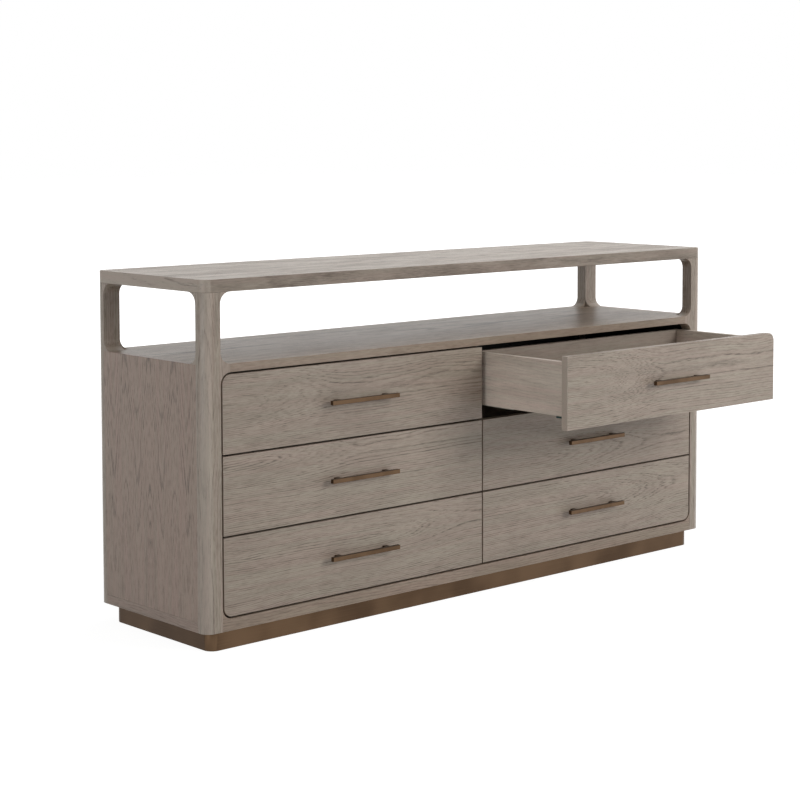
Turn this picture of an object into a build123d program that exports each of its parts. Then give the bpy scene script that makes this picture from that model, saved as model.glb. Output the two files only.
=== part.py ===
from build123d import *
import os

# A long dresser: six inset drawers in two columns under an open shelf with rounded windows.
# Millimetres. X runs to the right, the drawers open towards -Y, and the floor is at Z = 0.
# The origin is on the floor under the middle of the case.

# The case, overall.
width = 1830.0
depth = 457.0
corner_radius = 26.0

# Heights, from the floor up.
plinth_height = 50.0
bottom_rail_height = 29.0
front_height = 191.0
front_gap = 5.0
shelf_thickness = 21.0
window_height = 171.0
slab_thickness = 31.0

# Drawers up and across, with the words that name them.
row_names = ("upper", "middle", "lower")
column_names = ("left", "right")

# The posts, and the hollow corners that they carry.
post_width = 48.0
post_depth = 34.0
cove_radius = 28.0

# The boards of the case.
slab_edge_radius = 1.5
side_thickness = 20.0
inner_side_thickness = 18.0
partition_thickness = 18.0
partition_setback = 1.5
bottom_thickness = 24.0
bottom_rail_thickness = 20.0
back_thickness = 9.0
back_recess = 2.0

# Dowels that locate the top slab on the posts.
dowel_diameter = 10.0
dowel_length = 50.0
dowel_spacing = 22.0
dowel_side_clearance = 0.1
dowel_end_clearance = 0.8

# The metal plinth, a flat bar on edge with a brace under the middle of the case.
plinth_side_inset = 27.0
plinth_front_inset = 23.0
plinth_back_inset = 27.0
plinth_bar = 6.0
plinth_radius = 25.0

# The drawer fronts.
front_thickness = 20.0
front_edge_radius = 0.6

# The drawer boxes.
box_back_clearance = 86.0
box_side_clearance = 4.0
box_top_drop = 16.0
box_bottom_rise = 33.0
box_wall = 15.0
box_edge_radius = 2.0
drawer_bottom_thickness = 9.0
drawer_bottom_rise = 13.0
groove_depth = 5.0

# How far short of its full travel the upper right drawer stands open, the length over which two
# neighbouring slide members still overlap at full travel, and the share of a drawer's way that
# its middle slide members go.
open_remainder = 14.0
slide_overlap = 130.0
middle_travel_share = 0.5

# The pulls: a bar on two posts.
pull_length = 222.0
pull_height = 11.0
pull_bar_depth = 11.0
pull_projection = 27.0
pull_post_width = 13.0
pull_post_spacing = 160.0
pull_edge_radius = 0.8

# The screws that hold the pulls, put in from inside the box.
screw_diameter = 4.0
screw_head_diameter = 9.0
screw_head_height = 2.5
screw_engagement = 10.0
screw_side_clearance = 0.3
screw_end_clearance = 0.8

# The slides: folded steel members, one inside the other under the drawer bottom.
slide_steel = 1.5
slide_play = 0.5
slide_inset = 21.0
slide_width = 20.0
slide_front_clearance = 3.0
slide_end_clearance = 2.0
drawer_member_height = 12.0
middle_member_height = 17.0
middle_end_clearance = 7.0
bracket_drop = 24.0
bracket_flange_height = 20.0

# The catch that joins the drawer to the front of each slide.
catch_length = 30.0
catch_width = 24.0
catch_height = 22.0
catch_clearance = 0.3

# Levels and places that follow from the sizes above.
rows = len(row_names)
columns = len(column_names)
opening_bottom = plinth_height + bottom_rail_height
opening_top = opening_bottom + rows * front_height + (rows + 1) * front_gap
shelf_level = opening_top + shelf_thickness
slab_bottom = shelf_level + window_height
board_level = plinth_height + bottom_thickness
half_width = width / 2
half_depth = depth / 2
front_face = -half_depth
opening_half = half_width - post_width
post_inner_y = half_depth - post_depth
front_width = (2 * opening_half - (columns + 1) * front_gap) / columns
front_corner_radius = cove_radius - front_gap
back_panel_rear = half_depth - back_recess
back_panel_front = back_panel_rear - back_thickness
post_middle_x = half_width - post_width / 2
post_middle_y = half_depth - post_depth / 2
dowel_hole_radius = dowel_diameter / 2 + dowel_side_clearance
dowel_hole_depth = dowel_length / 2 + dowel_end_clearance
screw_hole_radius = screw_diameter / 2 + screw_side_clearance
box_length = back_panel_front - front_face - front_thickness - box_back_clearance
slide_start = front_thickness + box_wall + catch_length + slide_front_clearance
slide_length = front_thickness + box_length - slide_end_clearance - slide_start
middle_member_length = slide_length - slide_front_clearance - middle_end_clearance
drawer_travel = (slide_length - slide_overlap) / middle_travel_share
open_distance = drawer_travel - open_remainder

os.makedirs("parts", exist_ok=True)


def save(builder, name):
    """Labels a finished piece and writes it to its own file."""
    builder.part.label = name
    export_step(builder.part, f"parts/{name}.step")


def facing(y):
    """An upright plane at y that looks to the front, so that its own axes are X and Z."""
    return Plane.XZ.offset(-y)


def crossing(x):
    """An upright plane at x that looks to the right, so that its own axes are Y and Z."""
    return Plane.YZ.offset(x)


def span(first_low, first_high, second_low, second_high, mode=Mode.ADD):
    """A rectangle between two limits each way, in the sketch being drawn."""
    with Locations(((first_low + first_high) / 2, (second_low + second_high) / 2)):
        Rectangle(abs(first_high - first_low), abs(second_high - second_low), mode=mode)


def block(x_low, x_high, y_low, y_high, z_low, z_high, mode=Mode.ADD):
    """A square-edged block between six limits, in the part being made."""
    with BuildSketch(Plane.XY.offset(z_low)) as plan:
        span(x_low, x_high, y_low, y_high)
    extrude(plan.sketch, amount=z_high - z_low, mode=mode)


def cove(corner_x, corner_y, x_way, y_way):
    """The wood left in an inside corner that is rounded to the cove radius, in the sketch being drawn."""
    along = (corner_x + x_way * cove_radius, corner_y)
    up = (corner_x, corner_y + y_way * cove_radius)
    with BuildLine() as rim:
        Polyline(along, (corner_x, corner_y), up)
        TangentArc(along, up, tangent=(-x_way, 0))
    make_face(rim.edges())


def dowel_places(side, end):
    """Where the two dowels of one post stand."""
    return [
        (side * (post_middle_x + way * dowel_spacing / 2), end * post_middle_y)
        for way in (-1, 1)
    ]


all_dowel_places = [place for side in (-1, 1) for end in (-1, 1) for place in dowel_places(side, end)]

# The top slab: one board, its upright corners rounded and its rims eased, bored underneath for the dowels.
with BuildPart() as top_slab:
    with BuildSketch(Plane.XY.offset(slab_bottom)):
        RectangleRounded(width, depth, corner_radius)
    extrude(amount=slab_thickness)
    fillet(top_slab.faces().sort_by(Axis.Z)[-1].edges(), slab_edge_radius)
    fillet(top_slab.faces().sort_by(Axis.Z)[0].edges(), slab_edge_radius)
    with BuildSketch(Plane.XY.offset(slab_bottom)):
        with Locations(*all_dowel_places):
            Circle(dowel_hole_radius)
    extrude(amount=dowel_hole_depth, mode=Mode.SUBTRACT)
save(top_slab, "top_slab")

with BuildPart() as slab_dowels:
    with BuildSketch(Plane.XY.offset(slab_bottom - dowel_length / 2)):
        with Locations(*all_dowel_places):
            Circle(dowel_diameter / 2)
    extrude(amount=dowel_length)
save(slab_dowels, "slab_dowels")


def post(name, side, end):
    """A corner post with its coves. Side is -1 at the left and 1 at the right, end is -1 at the front."""
    outer_x = side * half_width
    inner_x = side * opening_half
    outer_y = end * half_depth
    inner_y = end * post_inner_y
    with BuildPart() as upright:
        with BuildSketch(Plane.XY.offset(plinth_height)) as footprint:
            span(outer_x, inner_x, outer_y, inner_y)
            fillet(footprint.vertices().sort_by_distance((outer_x, outer_y))[0], corner_radius)
        extrude(amount=slab_bottom - plinth_height)
        # Coves of the front or back window, and the wing that carries the shelf's end.
        with BuildSketch(facing(max(outer_y, inner_y))):
            cove(inner_x, slab_bottom, -side, -1)
            cove(inner_x, shelf_level, -side, 1)
            span(inner_x, inner_x - side * cove_radius, opening_top, shelf_level)
            if end < 0:
                cove(inner_x, opening_top, -side, -1)
        extrude(amount=post_depth)
        # Coves of the side window.
        with BuildSketch(crossing(min(outer_x, inner_x))):
            cove(inner_y, slab_bottom, -end, -1)
            cove(inner_y, shelf_level, -end, 1)
        extrude(amount=post_width)
        with BuildSketch(Plane.XY.offset(slab_bottom)):
            with Locations(*dowel_places(side, end)):
                Circle(dowel_hole_radius)
        extrude(amount=-dowel_hole_depth, mode=Mode.SUBTRACT)
    save(upright, name)


for side, side_name in ((-1, "left"), (1, "right")):
    for end, end_name in ((-1, "front"), (1, "back")):
        post(f"{end_name}_{side_name}_post", side, end)

# Side panels between the posts, and the black inner sides that carry the slides.
for side, side_name in ((-1, "left"), (1, "right")):
    with BuildPart() as side_panel:
        outer_x = side * half_width
        inner_x = side * (half_width - side_thickness)
        block(outer_x, inner_x, -post_inner_y, post_inner_y, board_level, shelf_level)
    save(side_panel, f"{side_name}_side_panel")
    with BuildPart() as inner_side:
        near_x = side * opening_half
        far_x = side * (opening_half + inner_side_thickness)
        block(near_x, far_x, -post_inner_y, post_inner_y, board_level, opening_top)
    save(inner_side, f"{side_name}_inner_side")

# The shelf board shows its edge between the wings of the posts, and lies inside the side panels.
with BuildPart() as shelf_board:
    shelf_half = half_width - side_thickness
    wing_half = opening_half - cove_radius
    with BuildSketch(Plane.XY.offset(opening_top)):
        span(-shelf_half, shelf_half, -post_inner_y, post_inner_y)
        span(-wing_half, wing_half, front_face, half_depth)
    extrude(amount=shelf_thickness)
save(shelf_board, "shelf_board")

# The bottom board shows its ends under the side panels and its edge at the back.
with BuildPart() as bottom_board:
    with BuildSketch(Plane.XY.offset(plinth_height)):
        span(-half_width, half_width, -post_inner_y, post_inner_y)
        span(-opening_half, opening_half, front_face + bottom_rail_thickness, half_depth)
    extrude(amount=bottom_thickness)
save(bottom_board, "bottom_board")

# The bottom rail butts against the posts and carries the lower coves of the drawer opening.
with BuildPart() as bottom_rail:
    with BuildSketch(facing(front_face + bottom_rail_thickness)):
        span(-opening_half, opening_half, plinth_height, opening_bottom)
        for side in (-1, 1):
            cove(side * opening_half, opening_bottom, -side, 1)
    extrude(amount=bottom_rail_thickness)
save(bottom_rail, "bottom_rail")

with BuildPart() as back_panel:
    block(-opening_half, opening_half, back_panel_front, back_panel_rear, board_level, opening_top)
save(back_panel, "back_panel")

with BuildPart() as centre_partition:
    partition_half = partition_thickness / 2
    partition_front = front_face + front_thickness + partition_setback
    block(-partition_half, partition_half, partition_front, back_panel_front, board_level, opening_top)
save(centre_partition, "centre_partition")

# The plinth: a closed band of flat bar with bent corners, and a brace welded across its middle.
with BuildPart() as plinth_base:
    plinth_low_y = front_face + plinth_front_inset
    plinth_high_y = half_depth - plinth_back_inset
    plinth_width = width - 2 * plinth_side_inset
    plinth_depth = plinth_high_y - plinth_low_y
    with BuildSketch():
        with Locations((0, (plinth_low_y + plinth_high_y) / 2)):
            RectangleRounded(plinth_width, plinth_depth, plinth_radius)
            RectangleRounded(
                plinth_width - 2 * plinth_bar,
                plinth_depth - 2 * plinth_bar,
                plinth_radius - plinth_bar,
                mode=Mode.SUBTRACT,
            )
        span(-plinth_bar / 2, plinth_bar / 2, plinth_low_y + plinth_bar, plinth_high_y - plinth_bar)
    extrude(amount=plinth_height)
save(plinth_base, "plinth_base")


def channel(wall_x, way, inset, slide_top, member_height, y_low, y_high):
    """One folded slide member, open below, that lies inset from the wall it runs along."""
    near_x = wall_x + way * inset
    far_x = wall_x + way * (2 * slide_inset + slide_width - inset)
    slide_bottom = slide_top - member_height
    block(near_x, far_x, y_low, y_high, slide_bottom, slide_top)
    hollow_near = near_x + way * slide_steel
    hollow_far = far_x - way * slide_steel
    block(hollow_near, hollow_far, y_low, y_high, slide_bottom, slide_top - slide_steel, Mode.SUBTRACT)


def cabinet_member(wall_x, way, box_bottom):
    """The fixed member: a flange on the wall, a sole, and a rib that the middle member runs over."""
    y_low = front_face + slide_start
    y_high = y_low + slide_length
    sole_bottom = box_bottom - bracket_drop
    rib_inset = slide_inset + 2 * (slide_steel + slide_play)
    rib_top = box_bottom + drawer_bottom_rise - 2 * (slide_steel + slide_play)
    rib_near = wall_x + way * rib_inset
    flange_top = sole_bottom + bracket_flange_height
    channel(wall_x, way, rib_inset, rib_top, rib_top - sole_bottom, y_low, y_high)
    block(wall_x, rib_near, y_low, y_high, sole_bottom, sole_bottom + slide_steel)
    block(wall_x, wall_x + way * slide_steel, y_low, y_high, sole_bottom, flange_top)


def walls(column):
    """The two faces that a column of drawers runs between, as (x, way into the column)."""
    if column == 0:
        return ((-opening_half, 1), (-partition_thickness / 2, -1))
    return ((partition_thickness / 2, 1), (opening_half, -1))


def front_low(row):
    """The lower edge of the fronts of one row, counted from the top."""
    return opening_top - (row + 1) * (front_height + front_gap)


# The fixed slide members, two for each drawer.
with BuildPart() as cabinet_runners:
    for column in range(columns):
        for row in range(rows):
            for wall_x, way in walls(column):
                cabinet_member(wall_x, way, front_low(row) + box_bottom_rise)
save(cabinet_runners, "cabinet_runners")


def drawer(name, column, row, pulled):
    """Every piece of one drawer, and the middle slide members under it, with the drawer pulled out."""
    face_y = front_face - pulled
    box_y = face_y + front_thickness
    box_end_y = box_y + box_length
    low_x = -opening_half + front_gap + column * (front_width + front_gap)
    high_x = low_x + front_width
    low_z = front_low(row)
    high_z = low_z + front_height
    middle_x = (low_x + high_x) / 2
    middle_z = (low_z + high_z) / 2
    (low_wall, _), (high_wall, _) = walls(column)
    box_low = low_wall + box_side_clearance
    box_high = high_wall - box_side_clearance
    box_bottom = low_z + box_bottom_rise
    box_top = high_z - box_top_drop
    panel_bottom = box_bottom + drawer_bottom_rise
    panel_top = panel_bottom + drawer_bottom_thickness
    inner_low = box_low + box_wall
    inner_high = box_high - box_wall
    box_front_rear = box_y + box_wall
    screw_places = [(middle_x + way * pull_post_spacing / 2, middle_z) for way in (-1, 1)]

    # The applied front. Only a corner that lies in a corner of the whole opening is rounded.
    with BuildPart() as front:
        with BuildSketch(facing(box_y)) as outline:
            span(low_x, high_x, low_z, high_z)
            outer_x = high_x if column else low_x
            for edge_row, corner_z in ((0, high_z), (rows - 1, low_z)):
                if row == edge_row:
                    corner = outline.vertices().sort_by_distance((outer_x, corner_z))[0]
                    fillet(corner, front_corner_radius)
        extrude(amount=front_thickness)
        fillet(front.faces().sort_by(Axis.Y)[0].edges(), front_edge_radius)
        with BuildSketch(facing(box_y)):
            with Locations(*screw_places):
                Circle(screw_hole_radius)
        extrude(amount=front_thickness, mode=Mode.SUBTRACT)
    save(front, f"{name}_front")

    with BuildPart() as sides:
        block(box_low, inner_low, box_y, box_end_y, box_bottom, box_top)
        block(inner_high, box_high, box_y, box_end_y, box_bottom, box_top)
        fillet(sides.edges().filter_by(Axis.Y).group_by(Axis.Z)[-1], box_edge_radius)
        for inner_x, way in ((inner_low, -1), (inner_high, 1)):
            groove_x = inner_x + way * groove_depth
            block(inner_x, groove_x, box_y, box_end_y, panel_bottom, panel_top, Mode.SUBTRACT)
    save(sides, f"{name}_sides")

    # The box front reaches down to the sides' lower edge; the box back stands on the bottom.
    with BuildPart() as ends:
        block(inner_low, inner_high, box_y, box_front_rear, box_bottom, box_top)
        block(inner_low, inner_high, box_end_y - box_wall, box_end_y, panel_top, box_top)
        fillet(ends.edges().filter_by(Axis.X).group_by(Axis.Z)[-1], box_edge_radius)
        groove_y = box_front_rear - groove_depth
        block(inner_low, inner_high, groove_y, box_front_rear, panel_bottom, panel_top, Mode.SUBTRACT)
        with BuildSketch(facing(box_front_rear)):
            with Locations(*screw_places):
                Circle(screw_hole_radius)
        extrude(amount=box_wall, mode=Mode.SUBTRACT)
    save(ends, f"{name}_ends")

    with BuildPart() as bottom:
        panel_low = inner_low - groove_depth
        panel_high = inner_high + groove_depth
        panel_front = box_front_rear - groove_depth
        block(panel_low, panel_high, panel_front, box_end_y, panel_bottom, panel_top)
    save(bottom, f"{name}_bottom")

    # The pull: a rectangular bar with softened edges on two posts, tapped from behind.
    with BuildPart() as pull:
        bar_front = face_y - pull_projection
        bar_rear = bar_front + pull_bar_depth
        half_pull = pull_length / 2
        half_height = pull_height / 2
        post_half_height = half_height - pull_edge_radius
        block(
            middle_x - half_pull,
            middle_x + half_pull,
            bar_front,
            bar_rear,
            middle_z - half_height,
            middle_z + half_height,
        )
        fillet(pull.edges(), pull_edge_radius)
        for post_x, _ in screw_places:
            post_low = post_x - pull_post_width / 2
            post_high = post_x + pull_post_width / 2
            post_bottom = middle_z - post_half_height
            post_top = middle_z + post_half_height
            block(post_low, post_high, bar_rear, face_y, post_bottom, post_top)
        with BuildSketch(facing(face_y)):
            with Locations(*screw_places):
                Circle(screw_hole_radius)
        extrude(amount=screw_engagement + screw_end_clearance, mode=Mode.SUBTRACT)
    save(pull, f"{name}_pull")

    # Steel on the drawer: two slide members, their catches and the screws of the pull.
    with BuildPart() as fittings:
        catch_end = box_front_rear + catch_length
        for wall_x, way in walls(column):
            member_y = catch_end + catch_clearance
            channel(wall_x, way, slide_inset, panel_bottom, drawer_member_height, member_y, box_end_y)
        catch_bottom = panel_bottom - catch_height
        for wall_x, way in walls(column):
            near_x = wall_x + way * slide_inset
            far_x = near_x + way * catch_width
            block(near_x, far_x, box_front_rear, catch_end, catch_bottom, panel_bottom)
        with BuildSketch(facing(box_front_rear)):
            with Locations(*screw_places):
                Circle(screw_diameter / 2)
        extrude(amount=box_wall + front_thickness + screw_engagement)
        with BuildSketch(facing(box_front_rear)):
            with Locations(*screw_places):
                Circle(screw_head_diameter / 2)
        extrude(amount=-screw_head_height)
    save(fittings, f"{name}_fittings")

    with BuildPart() as middle_runners:
        member_y = front_face + slide_start + slide_front_clearance - middle_travel_share * pulled
        member_inset = slide_inset + slide_steel + slide_play
        member_top = panel_bottom - slide_steel - slide_play
        member_end = member_y + middle_member_length
        for wall_x, way in walls(column):
            channel(wall_x, way, member_inset, member_top, middle_member_height, member_y, member_end)
    save(middle_runners, f"{name}_middle_runners")


for column, column_name in enumerate(column_names):
    for row, row_name in enumerate(row_names):
        stands_open = column_name == "right" and row_name == "upper"
        drawer(f"{row_name}_{column_name}", column, row, open_distance if stands_open else 0)
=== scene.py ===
import math
import bpy
from mathutils import Matrix, Vector


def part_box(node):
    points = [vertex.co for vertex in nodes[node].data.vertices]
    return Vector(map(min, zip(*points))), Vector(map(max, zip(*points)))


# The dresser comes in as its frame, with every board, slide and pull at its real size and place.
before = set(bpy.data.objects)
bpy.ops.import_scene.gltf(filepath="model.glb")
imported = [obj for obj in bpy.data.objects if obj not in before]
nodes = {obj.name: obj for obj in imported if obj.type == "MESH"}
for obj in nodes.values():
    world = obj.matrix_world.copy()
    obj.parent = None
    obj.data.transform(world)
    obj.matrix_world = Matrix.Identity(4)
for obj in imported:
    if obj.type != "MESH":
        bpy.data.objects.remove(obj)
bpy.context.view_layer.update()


# The plinth: a band of flat steel bar on edge, bent round at the corners, with a brace welded
# across its middle. It is plated a dark bronze, brushed along its length and waxed.
class Wire:
    """One value on its way through a finish. The signs + - and * add Math nodes."""

    def __init__(self, finish, socket):
        self.finish = finish
        self.socket = socket

    def of(self, operation, *others):
        """A Math node over this value and any others."""
        return self.finish.math(operation, self, *others)

    def __add__(self, other):
        return self.finish.math("ADD", self, other)

    def __sub__(self, other):
        return self.finish.math("SUBTRACT", self, other)

    def __rsub__(self, other):
        return self.finish.math("SUBTRACT", other, self)

    def __mul__(self, other):
        return self.finish.math("MULTIPLY", self, other)

    __radd__ = __add__
    __rmul__ = __mul__


class Finish:
    """A finish while it is mixed: the nodes of a material or a world, and what adds to them."""

    def __init__(self, owner):
        self.owner = owner
        owner.use_nodes = True
        owner.node_tree.nodes.clear()

    def add(self, kind, settings, sockets, output=0):
        """One node: its settings first, then the values or wires of its sockets."""
        node = self.owner.node_tree.nodes.new("ShaderNode" + kind)
        for setting, value in settings.items():
            setattr(node, setting, value)
        for socket, value in sockets.items():
            if isinstance(value, Wire):
                self.owner.node_tree.links.new(value.socket, node.inputs[socket])
            else:
                node.inputs[socket].default_value = value
        return Wire(self, node.outputs[output]) if node.outputs else None

    def math(self, operation, *values):
        """A Math node over these values, in their order."""
        return self.add("Math", {"operation": operation}, dict(enumerate(values)))

    def spot(self):
        """Where a point lies in the dresser at rest: its x, y and z in metres, by name."""
        place = self.add("TexCoord", {}, {}, "Object")
        return {axis: self.add("SeparateXYZ", {}, {0: place}, axis.upper()) for axis in "xyz"}

    def facing(self, axis):
        """How squarely the surface faces along an axis, either way, from 0 to 1."""
        normal = self.add("TexCoord", {}, {}, "Normal")
        return self.add("SeparateXYZ", {}, {0: normal}, axis.upper()).of("ABSOLUTE")

    def turned_to(self, axis):
        """Where the surface faces along an axis, either way, from 0 to 1 with a soft limit."""
        return self.step(self.facing(axis), 0.6, 0.75)

    def round_corner(self):
        """Where an upright rounded corner turns from one flat face to the next, from 0 to 1."""
        return self.step(self.facing("x") * self.facing("y"), 0.06, 0.3)

    def noise(self, x, y, z, detail=2.0, roughness=0.5):
        """Soft noise from 0 to 1 over three values that are scaled already."""
        place = self.add("CombineXYZ", {}, {0: x, 1: y, 2: z})
        sockets = {"Vector": place, "Scale": 1.0, "Detail": detail, "Roughness": roughness}
        return self.add("TexNoise", {}, sockets)

    def even_noise(self, at, scale, detail=2.0, roughness=0.5):
        """Soft noise from 0 to 1 that changes equally fast along x, y and z."""
        return self.noise(*[at[axis] * scale for axis in "xyz"], detail, roughness)

    def step(self, value, low, high):
        """A soft step from 0 at low to 1 at high."""
        settings = {"interpolation_type": "SMOOTHSTEP"}
        return self.add("MapRange", settings, {"Value": value, "From Min": low, "From Max": high})

    def blend(self, share, first, second):
        """The first colour where share is 0, the second where it is 1."""
        return self.add("Mix", {"data_type": "RGBA"}, {0: share, 6: first, 7: second}, 2)

    def relief(self, height, depth):
        """The surface raised by height times depth, in metres."""
        return self.add("Bump", {}, {"Height": height, "Distance": depth})

    def close(self, sockets):
        """Ends a material in its one shader."""
        shader = self.add("BsdfPrincipled", {}, sockets)
        self.add("OutputMaterial", {}, {"Surface": shader})
        return self.owner


def screen(red, green, blue):
    """A colour as a screen shows it, 0 to 255, turned into the light that it stands for."""
    shares = [value / 255 for value in (red, green, blue)]
    light = [s / 12.92 if s <= 0.04045 else ((s + 0.055) / 1.055) ** 2.4 for s in shares]
    return (*light, 1.0)


def dress(name, material, ease=0.0):
    """Gives a frame node its finish and eases its sharp edges by so many metres."""
    node = nodes[name]
    for slot in node.material_slots:
        slot.material = material
    if ease:
        weld_distance = 0.00001
        sharp_from = math.radians(40)
        weld = node.modifiers.new("weld", "WELD")
        weld.merge_threshold = weld_distance
        bevel = node.modifiers.new("ease", "BEVEL")
        bevel.width = ease
        bevel.segments = 2
        bevel.limit_method = "ANGLE"
        bevel.angle_limit = sharp_from
        bevel.harden_normals = True


def bronze(name, strokes, cloud_scale, polish):
    """Waxed bronze plating. Strokes says how fast the brushing changes along x, y and z, and
    cloud_scale how fast the wax does, per metre. Polish is how far the whole is rubbed bright."""
    finish = Finish(bpy.data.materials.new(name))
    at = finish.spot()
    brushed = finish.noise(*[at[axis] * scale for axis, scale in zip("xyz", strokes)], 3.0, 0.6)
    cloud = finish.even_noise(at, cloud_scale)
    tone = finish.step(cloud, 0.3, 0.7) * 0.7 + (brushed - 0.5) * 0.9 + polish
    # Painted shade: the faces that look up or sideways are painted darker. A painted highlight
    # lightens a round corner.
    painted_shade = finish.facing("x") * 0.36 + finish.facing("z") * 0.4
    waxed_and_highlight = finish.blend(tone + finish.round_corner(), screen(72, 55, 41), screen(108, 86, 66))
    return finish.close(
        {
            "Base Color": finish.blend(painted_shade, waxed_and_highlight, screen(30, 22, 16)),
            "Metallic": 1.0,
            "Roughness": brushed * 0.16 + cloud * 0.1 + 0.28,
            "Normal": finish.relief(brushed, 0.00004),
        }
    )


full_ease = 0.0006
dress("plinth_base", bronze("plinth_bronze", (5, 5, 1300), 6, 0.225), full_ease)


# The bottom board and the rail before it: veneered board, its edges lipped with strips of oak.
# The oak is sliced flat, wire brushed, stained grey and sealed with a thin satin lacquer.
def oak(
    name,
    axes,
    heart,
    sink,
    ring=0.006,
    contrast=0.6,
    grain=0.5,
    mottle=0.2,
    stain=(1, 1, 1),
    seed=1.0,
    end_light=0.12,
    wave=0.03,
    book=None,
    edges=None,
):
    """Flat-sliced oak. Axes name the way along the grain, across the leaf and through it. Heart is
    where the pith of the log runs, across and through, and sink is from where to where along the
    leaf it sinks, and how far, so that the yearly rings are cut into arches there. Ring is how
    wide a year is, wave how far the log bends on its way, and seed picks the log. Contrast is the
    strength of the rings, grain of the short strokes and mottle of the broad clouds. Stain is what
    red, green and blue are multiplied by, and end_light how far the ends are painted paler, as
    painted light. Book, on two mirrored leaves, is half the way between two columns of arches, and
    edges, on a board with a strip along each edge, how dark the strips are."""
    bare = (screen(168, 157, 142), screen(171, 154, 141), screen(104, 91, 80), screen(72, 61, 52))
    tones = [(*(part * share for part, share in zip(tone, stain)), 1.0) for tone in bare]
    pale, rosy, dark, pore_colour = tones
    finish = Finish(bpy.data.materials.new(name))
    at = finish.spot()
    length, width, depth = (at[axis] for axis in axes)
    ends = finish.turned_to(axes[0])
    if edges:
        # On the ends of the board the edge strip has its own grain, along the strip.
        leaf = (length, width, depth)
        strip = (width, depth, length)
        length, width, depth = (a + ends * (b - a) for a, b in zip(leaf, strip))
    seeded = length + seed
    across = width
    if book:
        # Two leaves opened like a book: mirrored about the middle. The log waves across them, and
        # the arches stand in a column at each turn of the wave.
        swing = 0.10
        width = width.of("ABSOLUTE")
        across = (width * (math.pi / 2 / book)).of("SINE") * swing
    # How the log bends, over decimetres, over centimetres and from fibre to fibre.
    wander = finish.noise(seeded * 2.1, across * 5, depth * 5) - 0.5
    ripple = finish.noise(seeded * 13, width * 80, depth * 80, 3.0, 0.6) - 0.5
    fibre = finish.noise(seeded * 9, width * 480, depth * 480, 1.0) - 0.5
    # The rings about the pith, counted outwards. Spring is the open early wood of each.
    sinking = finish.step(length + fibre * 0.05, sink[0], sink[1]) * sink[2]
    sunk = depth - heart[1] + sinking + wander * wave
    aside = across - heart[0] + wander * 0.04 + ripple * 0.006
    rings = (aside * aside + sunk * sunk).of("SQRT") * (1 / ring) + ripple * 0.6 + fibre * 0.3
    phase = rings.of("FRACT")
    spring = (1 - finish.step(phase, 0.05, 0.5)) * finish.step(phase, 0.0, 0.12)
    year = finish.add("TexWhiteNoise", {"noise_dimensions": "1D"}, {"W": rings.of("FLOOR") + seed})
    # The strokes of the grain, the short rays between them and the open pores.
    streak = finish.step(finish.noise(seeded * 24, width * 460, depth * 460, 4.0, 0.7), 0.34, 0.66)
    dash = finish.step(finish.noise(seeded * 44 + 3, width * 340, depth * 340, 1.0), 0.48, 0.7)
    pores = finish.noise(seeded * 85, width * 1700, depth * 1700, 1.0)
    pore = finish.step(pores, 0.57, 0.68) * (spring * 0.7 + 0.3)
    # How unevenly the stain has taken, and where it turns rosy.
    cloud = finish.noise(seeded * 2.3, width * 8, depth * 8)
    broad = finish.step(finish.noise(seeded * 6, width * 34, depth * 34, 3.0, 0.6), 0.3, 0.7)
    tint = finish.step(finish.noise(seeded * 3.1, width * 90, depth * 90), 0.3, 0.7)
    line = spring * (year * 1.1 + 0.15) * (streak * 0.7 + 0.3)
    fine = (streak - 0.5) * 0.6 + (dash - 0.3) * 0.4
    uneven = (cloud - 0.5) * 0.3 + (broad - 0.5) * mottle
    shade = (line - 0.2) * contrast + fine * grain + uneven + 0.38
    if edges:
        # The strips along the front and the back edge are calmer and darker than the leaf.
        shade = shade + finish.turned_to(axes[1]) * (edges - shade * 0.6)
    # Painted light: the ends are painted paler, and a round corner carries a painted highlight.
    stained = finish.blend(shade - ends * 0.5, finish.blend(tint, pale, rosy), dark)
    painted_highlight = (finish.round_corner() * 0.32).of("MAXIMUM", ends * end_light)
    stained = finish.blend(painted_highlight, stained, screen(210, 198, 186))
    return finish.close(
        {
            "Base Color": finish.blend(pore * 0.4, stained, pore_colour),
            "Roughness": streak * 0.1 + pore * 0.15 + (broad - 0.5) * mottle * 0.12 + 0.32,
            "Normal": finish.relief(streak * 0.25 - pore, 0.0001),
        }
    )


board_sink = (-0.2, 0.2, 0.02)
board_stain = (0.88, 0.79, 0.76)
board_oak = oak("bottom_oak", "yzx", (0.06, -0.90), board_sink, stain=board_stain, seed=3.1)
dress("bottom_board", board_oak, full_ease)
slight_ease = 0.0004
rail_sink = (-0.9, 0.9, 0.05)
rail_stain = (0.93, 0.87, 0.82)
rail_oak = oak("rail_oak", "xzy", (0.10, -0.19), rail_sink, stain=rail_stain, seed=5.7)
dress("bottom_rail", rail_oak, slight_ease)

# The four corner posts: solid oak, the outer corner rounded, with the hollow corners of the
# windows worked in the same piece. The grain runs up, and each post is a stick of its own.
post_sink = (0.0, 0.9, 0.012)
for number, (name, side, end) in enumerate(
    (
        ("front_left_post", -1, -1),
        ("front_right_post", 1, -1),
        ("back_left_post", -1, 1),
        ("back_right_post", 1, 1),
    )
):
    pith = (side * 0.80, end * 0.12)
    post_seed = 11.3 + number * 7.1
    post_oak = oak(name + "_oak", "zxy", pith, post_sink, ring=0.0055, grain=0.6, seed=post_seed)
    dress(name, post_oak, full_ease)

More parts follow.
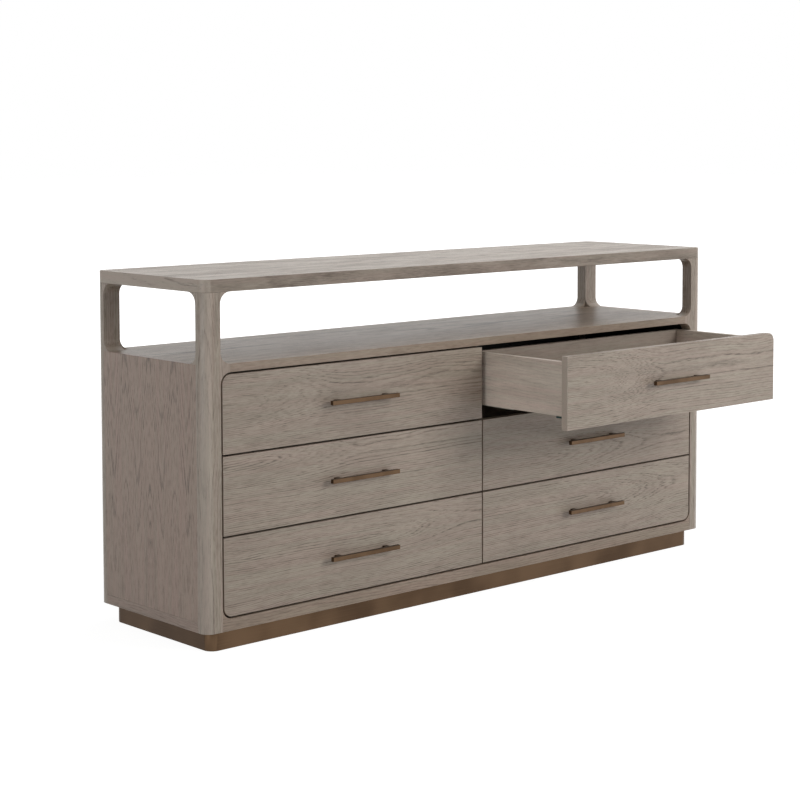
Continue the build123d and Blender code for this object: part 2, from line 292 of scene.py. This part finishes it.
# The side panels: veneered board between the posts, two leaves opened like a book about the
# middle, so that one leaf mirrors the figure of the other. Held in grooves and glued.
half_width = 0.915
for number, (name, side) in enumerate((("left_side_panel", -1), ("right_side_panel", 1))):
    pith = (0.0, side * half_width - 0.006)
    panel_oak = oak(
        name + "_oak",
        "zyx",
        pith,
        (0.0, 0.78, 0.12),
        ring=0.010,
        contrast=1.6,
        grain=1.05,
        stain=(0.9, 0.79, 0.765),
        seed=31.0 + number * 5,
        book=0.052,
    )
    dress(name, panel_oak, full_ease)

# Inside the case: the inner sides and the partition that carry the slides, and the back panel.
# They are fibreboard faced in black, screwed in from behind and from below.
black = Finish(bpy.data.materials.new("black_facing"))
at = black.spot()
orange_peel = black.even_noise(at, 420, 3.0, 0.6)
dust = black.even_noise(at, 9, 4.0, 0.65)
black_facing = black.close(
    {
        "Base Color": black.blend(dust, screen(13, 12, 12), screen(25, 23, 22)),
        "Roughness": orange_peel * 0.2 + 0.45,
        "Normal": black.relief(orange_peel, 0.00005),
    }
)
least_ease = 0.0003
for name in ("left_inner_side", "right_inner_side", "centre_partition"):
    dress(name, black_facing, least_ease)

back = Finish(bpy.data.materials.new("back_facing"))
at = back.spot()
fibre = back.even_noise(at, 240, 4.0, 0.7)
dust = back.even_noise(at, 5, 4.0, 0.6)
back_facing = back.close(
    {
        "Base Color": back.blend(dust * 0.7 + fibre * 0.3, screen(24, 22, 21), screen(44, 41, 38)),
        "Roughness": fibre * 0.2 + 0.5,
        "Normal": back.relief(fibre, 0.00006),
    }
)
dress("back_panel", back_facing, least_ease)

# The shelf: a veneered board with an oak lip, housed between the wings of the posts.
# Its upper face is the floor of the open space, and its edges show in front and behind.
shelf_oak = oak(
    "shelf_oak",
    "xyz",
    (0.03, 0.66),
    (-0.9, 0.9, 0.07),
    ring=0.012,
    contrast=1.5,
    grain=1.0,
    mottle=0.4,
    stain=(1.05, 1.0, 0.95),
    seed=47.0,
    edges=0.42,
)
dress("shelf_board", shelf_oak, slight_ease)

# The top slab: one veneered board with lipped edges, the same rounded corners as the posts,
# and dowels underneath that drop into the posts.
slab_oak = oak(
    "slab_oak",
    "xyz",
    (-0.02, 0.87),
    (-0.9, 0.9, 0.1),
    ring=0.015,
    contrast=1.5,
    grain=1.0,
    mottle=0.8,
    seed=53.0,
    edges=0.48,
)
dress("top_slab", slab_oak)

dowel = Finish(bpy.data.materials.new("dowel_beech"))
at = dowel.spot()
fluted = dowel.noise(at["x"] * 900, at["y"] * 900, at["z"] * 25)
dress(
    "slab_dowels",
    dowel.close(
        {
            "Base Color": dowel.blend(fluted, screen(214, 184, 146), screen(178, 143, 105)),
            "Roughness": fluted * 0.2 + 0.5,
            "Normal": dowel.relief(fluted, 0.0001),
        }
    ),
)


# The slides: three folded members each, of zinc plated steel with a faint green cast, screwed on.
# The plating shows the marks of rolling along the length and a fine spangle.
def zinc(name, catches=None):
    """Zinc plate. Catches is the y of the front of the two plastic catches and the z of their
    top."""
    finish = Finish(bpy.data.materials.new(name))
    at = finish.spot()
    rolled = finish.noise(at["x"] * 700, at["y"] * 9, at["z"] * 700, 3.0, 0.6)
    spangle = finish.even_noise(at, 120)
    share = spangle * 0.6 + rolled * 0.4
    colour = finish.blend(share, screen(150, 156, 148), screen(196, 199, 192))
    metal = 1.0
    roughness = rolled * 0.15 + spangle * 0.1 + 0.25
    if catches:
        # Each catch is 30 mm long, and the steel behind it starts at a distance. The limits are
        # set a little outside the catch.
        catch_front, catch_top = catches
        behind = at["y"].of("GREATER_THAN", catch_front - 0.001)
        before = at["y"].of("LESS_THAN", catch_front + 0.0301)
        plastic = behind * before * at["z"].of("LESS_THAN", catch_top)
        teal = finish.blend(spangle, screen(28, 52, 52), screen(40, 68, 66))
        colour = finish.blend(plastic, colour, teal)
        metal = 1 - plastic
        roughness = roughness + plastic * 0.15
    return finish.close(
        {
            "Base Color": colour,
            "Metallic": metal,
            "Roughness": roughness,
            "Normal": finish.relief(rolled, 0.00003),
        }
    )


zinc_plate = zinc("zinc_plate")
dress("cabinet_runners", zinc_plate, least_ease)

# The six drawers. Each front is one veneered board with its own figure, its edges lipped, and
# it is screwed to a box of pale boards whose grain runs level. Only the pull shows on it, held by
# two screws from inside the box.
# The box sides are painted far paler than the box ends of the same boards: painted light.
lit_side_stain = (2.2, 2.33, 2.5)
end_stain = (1.05, 1.08, 1.12)
pull_bronze = bronze("pull_bronze", (9, 1100, 1100), 14, 0.475)
box_heart = (0.3, 0.3)
side_sink = (-0.6, 0.2, 0.03)
end_sink = (-0.9, 0.9, 0.03)
calm = {"contrast": 0.2, "grain": 0.2}
side_oak = oak("box_side_wood", "yzx", box_heart, side_sink, stain=lit_side_stain, seed=101.0, **calm)
end_oak = oak("box_end_wood", "xzy", box_heart, end_sink, stain=end_stain, seed=107.0, **calm)
# For each front: the height of the pith, from where to where its arches run and how far the log
# sinks there, the strength of the rings, the seed and how far the ends are painted paler as light.
front_figures = {
    "upper_left": (0.597, -0.85, -0.50, 0.050, 0.7, 61.0, 0.0),
    "middle_left": (0.443, -0.80, -0.42, 0.040, 1.1, 67.3, 0.0),
    "lower_left": (0.215, -0.40, -0.04, 0.040, 1.05, 71.9, 0.0),
    "upper_right": (0.595, 0.05, 0.40, 0.070, 0.9, 86.9, 0.45),
    "middle_right": (0.340, 0.15, 0.75, 0.045, 0.9, 91.3, 0.0),
    "lower_right": (0.208, 0.35, 0.87, 0.055, 1.1, 97.2, 0.0),
}
for drawer, figure in front_figures.items():
    pith_height, arches_from, arches_to, depth, contrast, seed, end_light = figure
    front_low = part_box(drawer + "_front")[0]
    pith = (pith_height, front_low.y - 0.004)
    arches = (arches_from, arches_to, depth)
    front_oak = oak(
        drawer + "_front_oak",
        "xzy",
        pith,
        arches,
        ring=0.0045,
        contrast=contrast,
        grain=0.42,
        seed=seed,
        end_light=end_light,
        wave=0.012,
    )
    catches = (front_low.y + 0.035, front_low.z + 0.06)
    dress(drawer + "_front", front_oak)
    dress(drawer + "_sides", side_oak, slight_ease)
    dress(drawer + "_ends", end_oak, slight_ease)
    dress(drawer + "_bottom", end_oak)
    dress(drawer + "_pull", pull_bronze)
    dress(drawer + "_fittings", zinc(drawer + "_fitting_finish", catches))
    dress(drawer + "_middle_runners", zinc_plate)


# The studio: a pale floor, a white surround and soft light from large panels.
# The floor and the surround show white to the camera, and the floor keeps a soft shadow.
def softbox(name, place, aim, width, height, power, mirrored=False):
    """A flat soft light at a place, turned to a point. Polished faces mirror it only if asked."""
    light = bpy.data.lights.new(name, "AREA")
    light.shape = "RECTANGLE"
    light.size = width
    light.size_y = height
    light.energy = power
    lamp = bpy.data.objects.new(name, light)
    bpy.context.scene.collection.objects.link(lamp)
    lamp.visible_glossy = mirrored
    lamp.location = place
    lamp.rotation_euler = (Vector(aim) - Vector(place)).to_track_quat("-Z", "Y").to_euler()


# Each panel's place, the point it is turned to, its width and height, and its watts.
softbox("front_panel", (2.4, -5.3, 2.6), (0.2, 0, 0.4), 3.0, 2.2, 160)
softbox("left_panel", (-6.1, -0.8, 1.5), (0, 0, 0.5), 2.5, 2.2, 49, mirrored=True)
softbox("overhead_panel", (1.0, -0.3, 4.0), (0.4, 0, 0), 3.4, 3.4, 54)

surround = Finish(bpy.data.worlds.new("surround"))
bpy.context.scene.world = surround.owner
seen = surround.add("LightPath", {}, {}, "Is Camera Ray")
mirrored = surround.add("LightPath", {}, {}, "Is Glossy Ray")
through = surround.add("LightPath", {}, {}, "Is Transmission Ray")
shown = seen.of("MAXIMUM", mirrored).of("MAXIMUM", through)
# The surround shows white, and lights the dresser with a share of that.
ambient = 0.24
strength = shown * (1 - ambient) + ambient
glow = surround.add("Background", {}, {"Color": (1, 1, 1, 1), "Strength": strength})
surround.add("OutputWorld", {}, {"Surface": glow})

floor_half = 40.0
floor_mesh = bpy.data.meshes.new("floor")
corners = [(x * floor_half, y * floor_half, 0) for x, y in ((-1, -1), (1, -1), (1, 1), (-1, 1))]
floor_mesh.from_pydata(corners, [], [(0, 1, 2, 3)])
floor = bpy.data.objects.new("floor", floor_mesh)
bpy.context.scene.collection.objects.link(floor)
paint = Finish(bpy.data.materials.new("floor_paint"))
matt = paint.add("BsdfDiffuse", {}, {"Color": (0.65, 0.65, 0.65, 1)})
white = paint.add("Emission", {}, {"Color": (1, 1, 1, 1), "Strength": 1.4})
seen = paint.add("LightPath", {}, {}, "Is Camera Ray")
mirrored = paint.add("LightPath", {}, {}, "Is Glossy Ray")
# Near the dresser a share of the painted floor shows through the white, and with it the shadow.
# From shadow_end outwards it fades away.
painted = 0.33
shadow_end = 1.5
white_from = 5.0
at = paint.spot()
distance = (at["x"] * at["x"] + at["y"] * at["y"]).of("SQRT")
far = paint.step(distance, shadow_end, white_from)
share = seen.of("MAXIMUM", mirrored) * (far * painted + (1 - painted))
floor_look = paint.add("MixShader", {}, {0: share, 1: matt, 2: white})
paint.add("OutputMaterial", {}, {"Surface": floor_look})
floor.data.materials.append(paint.owner)

# The camera stands low and to the left, as for the photograph: its way round the dresser, its
# height above level and its roll in degrees, and its window moved down by a share of its width.
azimuth, elevation, roll = (math.radians(degrees) for degrees in (-42.040, 3.987, -0.139))
camera_data = bpy.data.cameras.new("camera")
camera_data.lens = 85.66
camera_data.sensor_width = 36.0
camera_data.shift_y = -0.16875
camera = bpy.data.objects.new("camera", camera_data)
bpy.context.scene.collection.objects.link(camera)
bpy.context.scene.camera = camera
away = Vector(
    (
        math.sin(azimuth) * math.cos(elevation),
        -math.cos(azimuth) * math.cos(elevation),
        math.sin(elevation),
    )
)
level_right = Vector((0, 0, 1)).cross(away).normalized()
level_up = away.cross(level_right)
right = level_right * math.cos(roll) + level_up * math.sin(roll)
up = level_up * math.cos(roll) - level_right * math.sin(roll)
turned = Matrix((right, up, away)).transposed().to_4x4()
camera_place = (-3.5434, -3.8300, 1.2387)
camera.matrix_world = Matrix.Translation(camera_place) @ turned
bpy.context.scene.view_settings.view_transform = "Standard"
